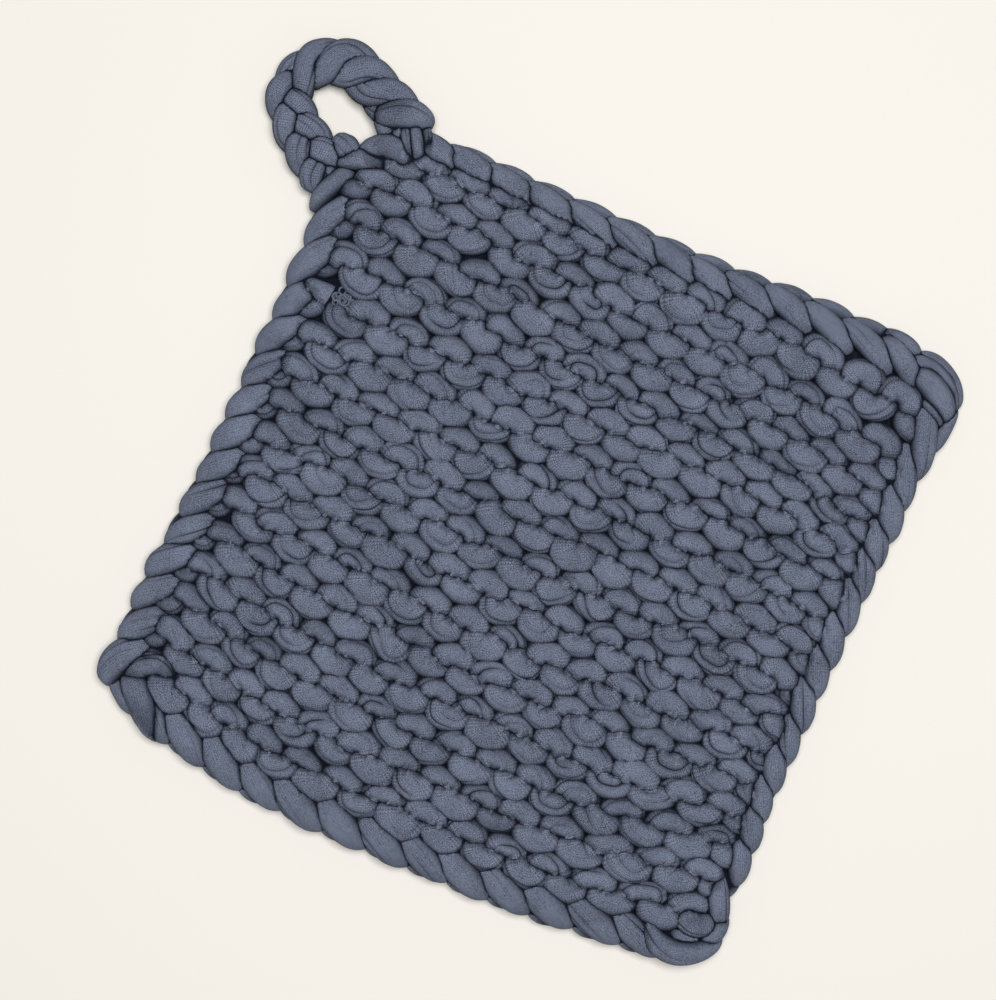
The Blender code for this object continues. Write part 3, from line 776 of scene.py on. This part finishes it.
def eased(keys, at, share=None):
    """Values between the keys at whole numbers, by the shares given or (1 - cos(pi share)) / 2."""
    low = np.clip(np.floor(at).astype(int), 0, keys.shape[-1] - 2)
    if share is None:
        share = 0.5 - 0.5 * np.cos(math.pi * np.clip(at - low, 0, 1))
    return keys[..., low] * (1 - share) + keys[..., low + 1] * share


def rows_of_knitting(ridges, heads_up, draw):
    """The yarn of one row of knitting for each ridge, from the left edge to the right edge.

    Counted in half stitches h, the yarn is at a sinker where h is even and at the head of a loop where it is
    odd. Across, it lies at h/2 + swing sin(2 pi h); up and down the fabric it eases from the sinker's line
    to the head's; and it crosses from one face to the other between them, where it is squeezed. Even steps s
    of h are gathered to s + GATHERED sin(4 pi s) / (4 pi). The lower face's ridges lie half a ridge off those
    of the upper face.
    """
    halves = 2 * STITCHES
    even = np.linspace(-ROW_END, halves + ROW_END, (halves + 1) * STATIONS)
    h = even + GATHERED * np.sin(4 * math.pi * even) / (4 * math.pi)
    head = np.arange(halves + 1) % 2 == 1
    upper = head == heads_up
    sign = -1 if heads_up else 1
    jitter = by_chance(draw, STITCH_CHANCE, (len(ridges), halves + 1))

    # each head's and sinker's own values
    line = np.where(head, HEAD_LINE, SINKER_LINE) + np.where(upper, 0, -0.5 * sign)
    line = np.clip(line + ridges[:, None] + jitter("line"), *LINE_LIMITS)
    shift = jitter("shift")
    swing = np.where(head, HEAD_SWING, SINKER_SWING) + jitter("swing")
    sunk = YARN_THICK + np.where(head, HEAD_SINKS, 0)
    level = np.where(upper, PAD_TOP - sunk, sunk) + jitter("level")
    if heads_up:
        level[ridges == TAIL_RIDGE, 1] -= TAIL_SINKS
    size = 1 + jitter("size")
    size[:, [0, -1]] *= END_STITCH
    wide = np.where(head, HEAD_WIDE, SINKER_WIDE) * size
    lean = jitter("lean")
    tilt = np.broadcast_to(np.where(head, -sign * HEAD_TILT, 0.0), wide.shape)
    roll = sign * np.clip(ROLL + jitter("roll"), 0, ROLL_MOST)
    slant = jitter("slant")
    fading = jitter("fading")
    crease = np.clip(CREASED + jitter("crease"), 0, CREASED_MOST)
    fold = sign * np.clip(FOLDED + jitter("fold"), 0, FOLDED_MOST)

    # the yarn's way between them, and past the first and last to half the pad's height
    at = np.clip(h, 0, halves)
    step = np.clip(at - np.clip(np.floor(at), 0, halves - 1), 0, 1)
    wave = np.sin(2 * math.pi * h)
    column = h / 2 + eased(shift, at) + eased(swing, at) * wave
    ridge = eased(line, at, half_stitch("climb", step)) + eased(lean, at) * wave
    x, y = place(column, ridge)
    height = eased(level, at, half_stitch("through", step))
    beyond = 2 * np.maximum(np.maximum(-h, h - halves), 0)
    height = height + (PAD_TOP / 2 - height) * beyond
    full = half_stitch("size", step)
    tip = rounded_tip(np.minimum(h - h[0], h[-1] - h) / ROW_TIP)
    half_way = np.clip(1 - np.abs(np.mod(h, 1) - 0.5) * 2, 0, 1)  # 0 at a head or sinker, 1 half way between
    return {
        "middle": np.stack([x, y, height], axis=-1),
        "up": np.stack(np.broadcast_arrays(0.0, eased(tilt, at), 1.0), axis=-1),
        "wide": eased(wide, at) * full * tip,
        "thick": eased(size, at) * YARN_THICK * full * tip,
        "roll": eased(roll, at) + eased(slant, at) * wave,
        "crease": eased(crease, at) * np.clip(1 + eased(fading, at) * wave, 0, 1),
        "fold": eased(fold, at) * np.clip(1 - eased(fading, at) * wave, 0, 1),
        "pinch": np.broadcast_to(half_way, x.shape),
        "owner": np.broadcast_to(np.round(h).astype(int) + 1, x.shape),
    }


# ---- the edges ----


def edge_strands(table, columns, ridges, outward, draw, under=False, mirror=False):
    """One strand of an edge for each place: the table's points, smoothed, from each column and ridge.

    Under turns the strand over to the lower face, and mirror swaps its slant.
    """
    columns, ridges = np.broadcast_arrays(np.asarray(columns, float), np.asarray(ridges, float))
    run = smoothed(EDGE_COLUMNS, table)
    jitter = by_chance(draw, EDGE_CHANCE, (len(columns), 1))
    slant = -1 if mirror else 1
    column = columns[:, None] + slant * run["column"] + jitter("place")
    ridge = ridges[:, None] + run["ridge"] + jitter("place")
    height = run["height"] * MM
    height = (PAD_TOP - height if under else height) + jitter("height")
    x, y = place(column, ridge)
    middle = np.stack([x, y, height], axis=-1)
    return swept(middle, run, outward, draw, face=-1 if under else 1)


def swept(middle, run, outward, draw, face=1):
    """The arguments of tubes() for strands with pointed ends, from their paths and a table's columns.

    With p from -1 at a strand's start to 1 at its end, its size tapers as sqrt(1 - |p|^EDGE_TAPER), and a
    crease or fold is EDGE_FADES - |p - deepest| deep, between 0 and 1. Its flat faces sin(lean) outward and
    cos(lean) up.
    """
    jitter = by_chance(draw, EDGE_CHANCE, (len(middle), 1))
    lean = np.radians(run["lean"])
    up = np.sin(lean)[:, None] * np.asarray(outward, float) + 0 * middle[..., :2]
    up = np.concatenate([up, face * np.cos(lean)[:, None] + 0 * middle[..., :1]], axis=-1)
    along = np.linspace(0, 1, EDGE_STATIONS)
    p = 2 * along - 1

    def faded(depth):
        """A crease of this depth that fades out on both sides of a place drawn by chance."""
        return depth * np.clip(EDGE_FADES - np.abs(p - jitter("deepest")), 0, 1)

    taper = rounded_tip(np.clip(1 - np.abs(p) ** EDGE_TAPER, 0, 1))
    grown = taper * (1 + jitter("size"))
    return {
        "middle": middle,
        "up": up,
        "wide": run["wide"] * MM * grown,
        "thick": run["thick"] * MM * grown,
        "roll": jitter("roll") + EDGE_ROLLS * along,
        "crease": faded(np.clip(EDGE_CREASED + jitter("crease"), 0, 1)),
        "fold": faded(np.clip(jitter("fold"), -1, 1)),
        "pinch": np.broadcast_to(EDGE_PINCH * np.abs(p) ** 2, grown.shape),
    }


def smoothed(keys, table):
    """The columns of a table, each a curve through its values over the stations of a strand."""
    at = np.linspace(0, len(table) - 1, EDGE_STATIONS)
    return {key: smooth_through(np.arange(len(table)), column, at) for key, column in zip(keys, zip(*table))}


def path_of(run):
    """The middle line of one strand, in metres, from a table whose places are in millimetres."""
    return np.stack([run[key] * MM for key in ("x", "y", "height")], axis=-1)[None]


def loose_strands(tables, draw):
    """Strands from tables whose places are in millimetres. They lean away from the pad's middle."""
    parts = []
    for table in tables:
        run = smoothed(LOOSE_COLUMNS, table)
        run["thick"] = np.minimum(run["wide"], LOOSE_THICK)
        middle = path_of(run)
        parts.append(swept(middle, run, unit(middle[..., :2]), draw))
    return parts


def yarn_tail(draw):
    """The cut end of the yarn, folded flat, and the curled threads that fray from it.

    A thread of radius r lies at r cos a, r sin a and a height of FRAY_RISE sin(FRAY_WAVES a) from its start,
    while a goes from a first angle through its turns.
    """
    run = smoothed(TAIL_COLUMNS, TAIL)
    stub = swept(path_of(run), run, (0, 1), draw)
    along = np.linspace(0, 1, EDGE_STATIONS)
    cut = np.clip((1 - along) / TAIL_CUT, TIP_LEAST, 1)
    for key in ("wide", "thick"):
        stub[key] = (run[key] * MM * cut)[None]
    start = FRAY_MIDDLE + draw.normal(0, 1, (FRAYS, 1, 3)) * FRAY_SPREAD
    radius = draw.uniform(*FRAY_CURL, (FRAYS, 1))
    first = draw.uniform(0, 2 * math.pi, (FRAYS, 1))
    turns = draw.uniform(*FRAY_TURNS, (FRAYS, 1)) * draw.choice([-1, 1], (FRAYS, 1))
    angle = first + 2 * math.pi * turns * along
    rise = FRAY_RISE * np.sin(angle * FRAY_WAVES)
    threads = start + np.stack([radius * np.cos(angle), radius * np.sin(angle), rise], axis=-1)
    thin = np.broadcast_to(FRAY_THICK * rounded_tip(4 * along * (1 - along), FRAY_TIP), angle.shape)
    frays = {key: np.zeros(angle.shape) for key in ("roll", "crease", "fold", "pinch")}
    frays.update(middle=threads, up=np.broadcast_to(UP, threads.shape), wide=thin, thick=thin, free=True)
    return [stub, frays]


# ---- the hanging loop ----


def plait():
    """The loop's three strands: each weaves from side to side once, and up and down twice, in one lay.

    A strand at angle t of its lay lies PLAIT_REACH width sin t to the side and PLAIT_WEAVE sin 2t up where
    the loop is a flat plait. Where it is a rope it lies ROPE_LIFT cos t up, and the sine is hurried by tanh.
    """
    table = np.array(LOOP_ROUTE)
    route = table[:, :3] * MM
    travelled = np.concatenate([[0], np.cumsum(np.linalg.norm(np.diff(route[:, :2], axis=0), axis=1))])
    at = np.linspace(0, travelled[-1], PLAIT_STATIONS)
    x, y, width = (smooth_through(travelled, values, at) for values in route.T)
    plaited = np.clip(smooth_through(travelled, table[:, 3], at), 0, 1)
    along = unit(np.stack([np.gradient(x), np.gradient(y)], axis=1))
    grown = rounded_tip(np.minimum(at, at[-1] - at) / PLAIT_TIP)
    parts = []
    for strand in range(PLAIT_STRANDS):
        turn = 2 * math.pi * (at / PLAIT_LAY + strand / PLAIT_STRANDS)
        sudden = np.tanh(ROPE_HURRY * np.sin(turn)) / math.tanh(ROPE_HURRY)
        sideways = PLAIT_REACH * width * (plaited * np.sin(turn) + (1 - plaited) * sudden)
        lift = plaited * PLAIT_WEAVE * np.sin(2 * turn) + (1 - plaited) * ROPE_LIFT * np.cos(turn)
        place_x, place_y = x - along[:, 1] * sideways, y + along[:, 0] * sideways
        middle = np.stack([place_x, place_y, LOOP_MIDDLE + lift], axis=1)
        part = {
            "middle": middle,
            "up": np.broadcast_to(UP, middle.shape),
            "wide": PLAIT_WIDE * width * grown * (1 + ROPE_CROWN * (1 - plaited) * np.cos(turn)),
            "thick": PLAIT_THICK * grown,
            "pinch": np.full(PLAIT_STATIONS, PLAIT_PINCH),
        }
        for key, row in PLAIT_FOLDS.items():
            wave = np.sin(turn * row["rate"] + row["apart"] * strand)
            part[key] = np.clip(row["middle"] + row["size"] * wave, *row["limits"])
        parts.append({key: values[None] for key, values in part.items()})
    return parts


# ---- finishes ----


class Value:
    """A number on its way through a material: Python's operators add Math nodes to it."""

    def __init__(self, nodes, socket):
        self.nodes, self.socket = nodes, socket

    def math(self, operation, *others):
        """This value through a Math node of the operation, with the others."""
        return self.nodes.add("ShaderNodeMath", {"operation": operation}, (self, *others))[0]

    def __add__(self, other):
        return self.math("ADD", other)

    def __sub__(self, other):
        return self.math("SUBTRACT", other)

    def __mul__(self, other):
        return self.math("MULTIPLY", other)

    def __rsub__(self, other):
        return (self * -1) + other

    __radd__, __rmul__ = __add__, __mul__

    def __pow__(self, other):
        return self.math("POWER", other)

    def __abs__(self):
        return self.math("ABSOLUTE")


class Nodes:
    """A material's node tree, filled by one method that adds any node."""

    def __init__(self, material):
        material.use_nodes = True
        self.tree = material.node_tree
        self.shader = self.tree.nodes["Principled BSDF"]

    def add(self, kind, settings, inputs):
        """Adds a node, sets its settings, then its sockets, and returns its outputs as values."""
        node = self.tree.nodes.new(kind)
        for key, value in settings.items():
            setattr(node, key, value)
        pairs = inputs.items() if isinstance(inputs, dict) else enumerate(inputs)
        for key, value in pairs:
            self.put(node.inputs[key], value)
        return [Value(self, socket) for socket in node.outputs]

    def put(self, socket, value):
        """Links a value to a socket, or sets the socket to a number or colour."""
        if isinstance(value, Value):
            self.tree.links.new(value.socket, socket)
        else:
            socket.default_value = value


def jersey(name, dark, pale):
    """Matt knitted jersey on the yarn's own UV map, u round it and v along it.

    With m the distance from a rib's middle, a rib is (1 - 2m)^RIB_FULL high, times its stitches: a cosine
    along v, later by V_LEGS m, so that they are Vs. The relief adds fluff and puckers, more where the yarn is
    pinched. The tone adds the stitches, the fluff and an uneven dye. Painted shade darkens it where the yarn
    lies deep and in its creases, and where another strand is near: painted black in a seam and painted down
    to PAINTED_VALLEY_TONE beside it.
    """
    material = bpy.data.materials.new(name)
    nodes = Nodes(material)

    def noise(vector, scale, detail):
        """Smooth noise from 0 to 1, with this many specks to a unit of the vector."""
        inputs = {"Vector": vector, "Scale": scale, "Detail": detail}
        return nodes.add("ShaderNodeTexNoise", {"noise_dimensions": "3D"}, inputs)[0]

    def mark(key):
        """The number that the mesh carries under this name."""
        return nodes.add("ShaderNodeAttribute", {"attribute_name": key}, {})[2]

    def risen(value, top, least):
        """Eased from the least where the value is 0 to 1 where it is at the top."""
        inputs = {"Value": value, "From Min": 0.0, "From Max": top, "To Min": least}
        return nodes.add("ShaderNodeMapRange", {"interpolation_type": "SMOOTHSTEP"}, inputs)[0]

    uv = nodes.add("ShaderNodeUVMap", {"uv_map": "yarn"}, {})[0]
    u, v, _ = nodes.add("ShaderNodeSeparateXYZ", {}, {0: uv})
    middle = abs((u * WALES).math("FRACT") - 0.5)
    stitch = ((v * COURSES + middle * V_LEGS) * (2 * math.pi)).math("COSINE") * 0.5 + 0.5
    rib = (1 - middle * 2) ** RIB_FULL
    cell = rib * (stitch * STITCHED + (1 - STITCHED))
    coordinates = nodes.add("ShaderNodeTexCoord", {}, {})[3]  # Object
    fluff, dye = noise(coordinates, *FLUFF), noise(coordinates, *DYE)
    lengthways = nodes.add("ShaderNodeCombineXYZ", {}, {0: u * PUCKERS[0], 1: v * PUCKERS[1]})[0]
    pucker = noise(lengthways, *PUCKER)
    relief = cell * CELL_RELIEF + fluff + pucker * (mark("pinch") * PINCH_RELIEF + PUCKER_RELIEF)
    over = mark("over")
    # painted shade from the strands' heights: black in a seam between strands, and lighter beside it
    seam_shade = risen(over + (fluff - 0.5) * SEAM * SEAM_RAGGED, SEAM, 0.0)
    valley_shade = risen(over, VALLEY, PAINTED_VALLEY_TONE)
    tone = (cell * CELL_TONE + fluff * FLUFF_TONE + dye * DYE_TONE - TONE_LESS).math("MINIMUM", 1.0)
    # the tone with all the painted shade: deep in the fabric, in creases, in seams and beside them
    shade = tone * (1 - mark("painted_shade") * PAINTED_DEPTH_SHADE) * seam_shade * valley_shade
    # Sockets 0, 6 and 7 are the factor and the two colours, and output 2 is the mixed colour.
    colour = nodes.add("ShaderNodeMix", {"data_type": "RGBA"}, {0: shade, 6: dark, 7: pale})[2]
    bump = {"Strength": JERSEY_BUMP, "Distance": JERSEY_DEPTH, "Height": relief}
    normal = nodes.add("ShaderNodeBump", {}, bump)[0]
    for key, value in {**FINISH, "Sheen Tint": pale, "Base Color": colour, "Normal": normal}.items():
        nodes.put(nodes.shader.inputs[key], value)
    return material


# ---- camera, light and table ----


def camera():
    """Straight above, turned as the photograph shows the pad."""
    data = bpy.data.cameras.new("camera")
    data.lens = LENS
    data.sensor_width = SENSOR
    long_side = max(IMAGE["wide"], IMAGE["high"]) / PIXELS_PER_METRE
    view = bpy.data.objects.new("camera", data)
    view.location = (*VIEW_CENTRE, VIEW_LEVEL + long_side * LENS / SENSOR)
    view.rotation_euler = (0.0, 0.0, VIEW_TURN)
    bpy.context.scene.collection.objects.link(view)
    bpy.context.scene.camera = view


def light(name, location, size, power):
    """A square soft light that points at the pad's middle."""
    data = bpy.data.lights.new(name, "AREA")
    data.size = size
    data.energy = power
    lamp = bpy.data.objects.new(name, data)
    lamp.location = location
    aim = -np.array(location)
    down = math.acos(-aim[2] / np.linalg.norm(aim))
    lamp.rotation_euler = (down, 0.0, math.atan2(aim[1], aim[0]) - math.pi / 2)
    bpy.context.scene.collection.objects.link(lamp)


def studio():
    """A pale table, a soft light overhead and a little light from all round."""
    world = bpy.data.worlds.new("studio")
    world.use_nodes = True
    background = world.node_tree.nodes["Background"]
    background.inputs["Color"].default_value = ROOM_COLOUR
    background.inputs["Strength"].default_value = ROOM_STRENGTH
    bpy.context.scene.world = world
    light("overhead", **LAMP)
    mesh = bpy.data.meshes.new("table")
    corners = [(x * TABLE_HALF, y * TABLE_HALF, 0) for x, y in ((-1, -1), (1, -1), (1, 1), (-1, 1))]
    mesh.from_pydata(corners, [], [(0, 1, 2, 3)])
    table = bpy.data.objects.new("table", mesh)
    table.location = (0, 0, -TABLE_DROP)
    finish = bpy.data.materials.new("table")
    nodes = Nodes(finish)
    nodes.put(nodes.shader.inputs["Base Color"], TABLE_COLOUR)
    nodes.put(nodes.shader.inputs["Roughness"], TABLE_ROUGHNESS)
    mesh.materials.append(finish)
    bpy.context.scene.collection.objects.link(table)
    bpy.context.scene.view_settings.view_transform = "Standard"


# ---- the pot holder ----


def knitting(draw):
    """The rows in bands of ridges, each band one object, each ridge with a row for either face."""
    band = RIDGES // BANDS
    pieces = {}
    for number in range(BANDS):
        ridges = np.arange(band) + number * band
        parts = [rows_of_knitting(ridges, True, draw), rows_of_knitting(ridges, False, draw)]
        pieces[f"knitting_{number + 1}"] = parts
    return pieces


def edges(draw):
    """The chain along the top and bottom and the wraps down the sides of both faces, short of the corners."""
    down = np.arange(RIDGES)
    heads = np.arange(STITCHES) + 0.5
    sinkers = np.arange(STITCHES + 1)
    turned = {"under": True, "mirror": True}
    return {
        "left_edge": [
            edge_strands(LEFT_WRAP, 0, down[2:-1], LEFT, draw),
            edge_strands(RIGHT_STRAND, LEFT_UNDER, down[2:-1] - 0.5, LEFT, draw, **turned),
        ],
        "right_edge": [
            edge_strands(RIGHT_STRAND, STITCHES, down[:-2], RIGHT, draw),
            edge_strands(LEFT_WRAP, STITCHES, down[1:-1] - 0.5, RIGHT, draw, **turned),
        ],
        "top_chain": [
            edge_strands(TOP_LEAF, heads[1:-1], 0, UPWARDS, draw),
            edge_strands(TOP_HUMP, heads[2:-1], 0, UPWARDS, draw),
            edge_strands(TOP_LEAF, heads[1:-1], 0, UPWARDS, draw, **turned),
        ],
        "bottom_chain": [
            edge_strands(BOTTOM_LEAF, sinkers[1:-1], RIDGES, DOWNWARDS, draw),
            edge_strands(BOTTOM_LEAF, sinkers[2:-1], RIDGES, DOWNWARDS, draw, **turned),
        ],
    }


def main():
    """Builds everything that shows."""
    draw = np.random.default_rng(SEED)
    camera()
    studio()
    yarn = jersey("pad_jersey", YARN_DARK, YARN_PALE)
    fabric = knitting(draw)
    hem = edges(draw)
    hem["corners"] = loose_strands(TOP_LEFT + TOP_RIGHT + BOTTOM_LEFT + BOTTOM_RIGHT, draw)
    hem["yarn_tail"] = yarn_tail(draw)
    loop = plait() + loose_strands(LOOP_ENDS, draw)
    # The underside's own strands come last, because chance gives each strand its looks in this order.
    hem["corners"] += loose_strands(UNDER_CORNERS, draw)
    hem["top_chain"].append(edge_strands(UNDER_TOP, np.arange(1, STITCHES), 0, UPWARDS, draw, under=True))
    find_seams([*fabric.values(), *hem.values(), loop])
    for name, parts in fabric.items():
        add_yarn(name, parts, yarn, "knitted_body", fabric=True)
    for name, parts in hem.items():
        add_yarn(name, parts, yarn)
    add_yarn("plaited_loop", loop, yarn, "hanging_loop")


main()
